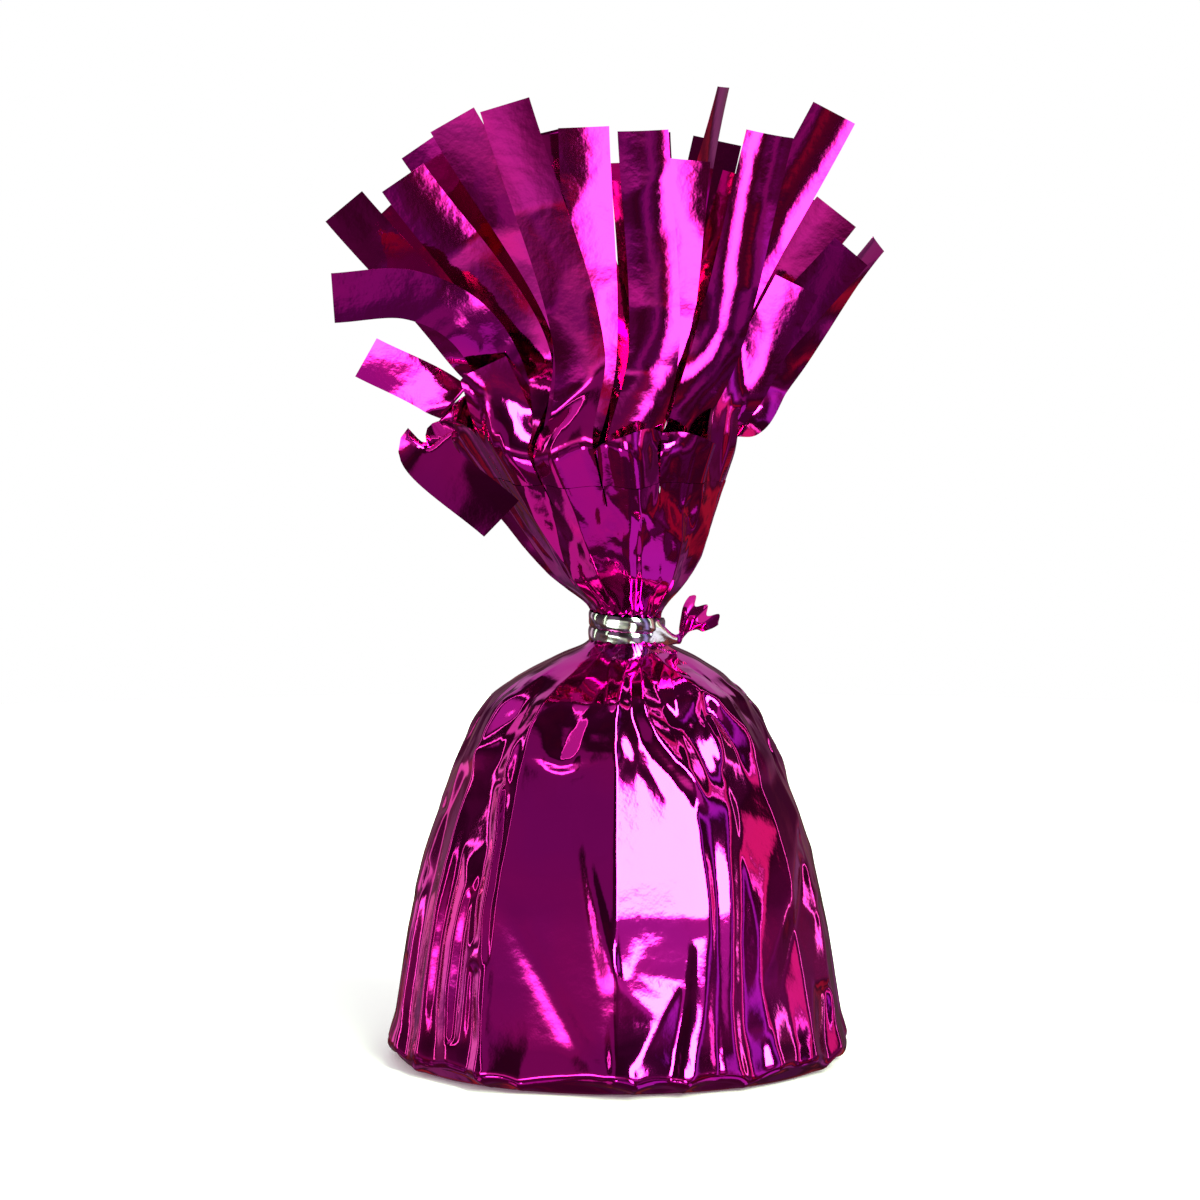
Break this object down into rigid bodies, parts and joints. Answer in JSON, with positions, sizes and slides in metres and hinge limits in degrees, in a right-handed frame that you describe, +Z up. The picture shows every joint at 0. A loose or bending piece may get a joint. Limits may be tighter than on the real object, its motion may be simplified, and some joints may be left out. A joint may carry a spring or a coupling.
{
  "type": "balloon weight",
  "caption": "Heavy bell-shaped weight wrapped in metallised film, bound at the neck with a film tie and topped by a slit fringe; a balloon ribbon ties round the neck.",
  "frame": {"origin": "centre of the round base, on the surface that the weight stands on", "axes": "+Z up through the neck, -Y towards the front of the picture, +X to its right"},
  "size_m": [0.0782, 0.0652, 0.1376],
  "materials": {
    "film": "mirror-bright metallised film, magenta, with sharp creases",
    "silver_film": "mirror-bright silver back of the metallised film",
    "card": "plain greyboard",
    "cup": "thin thermoformed sheet, satin white",
    "ballast": "cast sand and cement, rough"
  },
  "bodies": {
    "root": {"base_card": "card", "ballast_cup": "cup", "ballast_fill": "ballast", "film_wrap": "film", "tie_strip": "silver_film", "tie_tail": "film", "fringe_strip_01": "film", "fringe_strip_02": "film", "fringe_strip_03": "film", "fringe_strip_04": "film", "fringe_strip_05": "film", "fringe_strip_06": "film", "fringe_strip_07": "film", "fringe_strip_08": "film", "fringe_strip_09": "film", "fringe_strip_10": "film", "fringe_strip_11": "film", "fringe_strip_12": "film", "fringe_strip_13": "film", "fringe_strip_14": "film", "fringe_strip_15": "film", "fringe_strip_16": "film", "fringe_strip_17": "film", "fringe_strip_18": "film", "fringe_strip_19": "film", "fringe_strip_20": "film", "fringe_strip_21": "film", "fringe_strip_22": "film", "fringe_strip_23": "film", "fringe_strip_24": "film", "fringe_strip_25": "film", "fringe_strip_26": "film", "fringe_strip_27": "film", "fringe_strip_28": "film", "fringe_strip_29": "film", "fringe_strip_30": "film", "fringe_strip_31": "film", "fringe_strip_32": "film", "fringe_strip_33": "film", "fringe_strip_34": "film", "fringe_strip_35": "film", "fringe_strip_36": "film", "fringe_strip_37": "film", "fringe_strip_38": "film", "fringe_strip_39": "film", "fringe_strip_40": "film"}
  },
  "joints": []
}
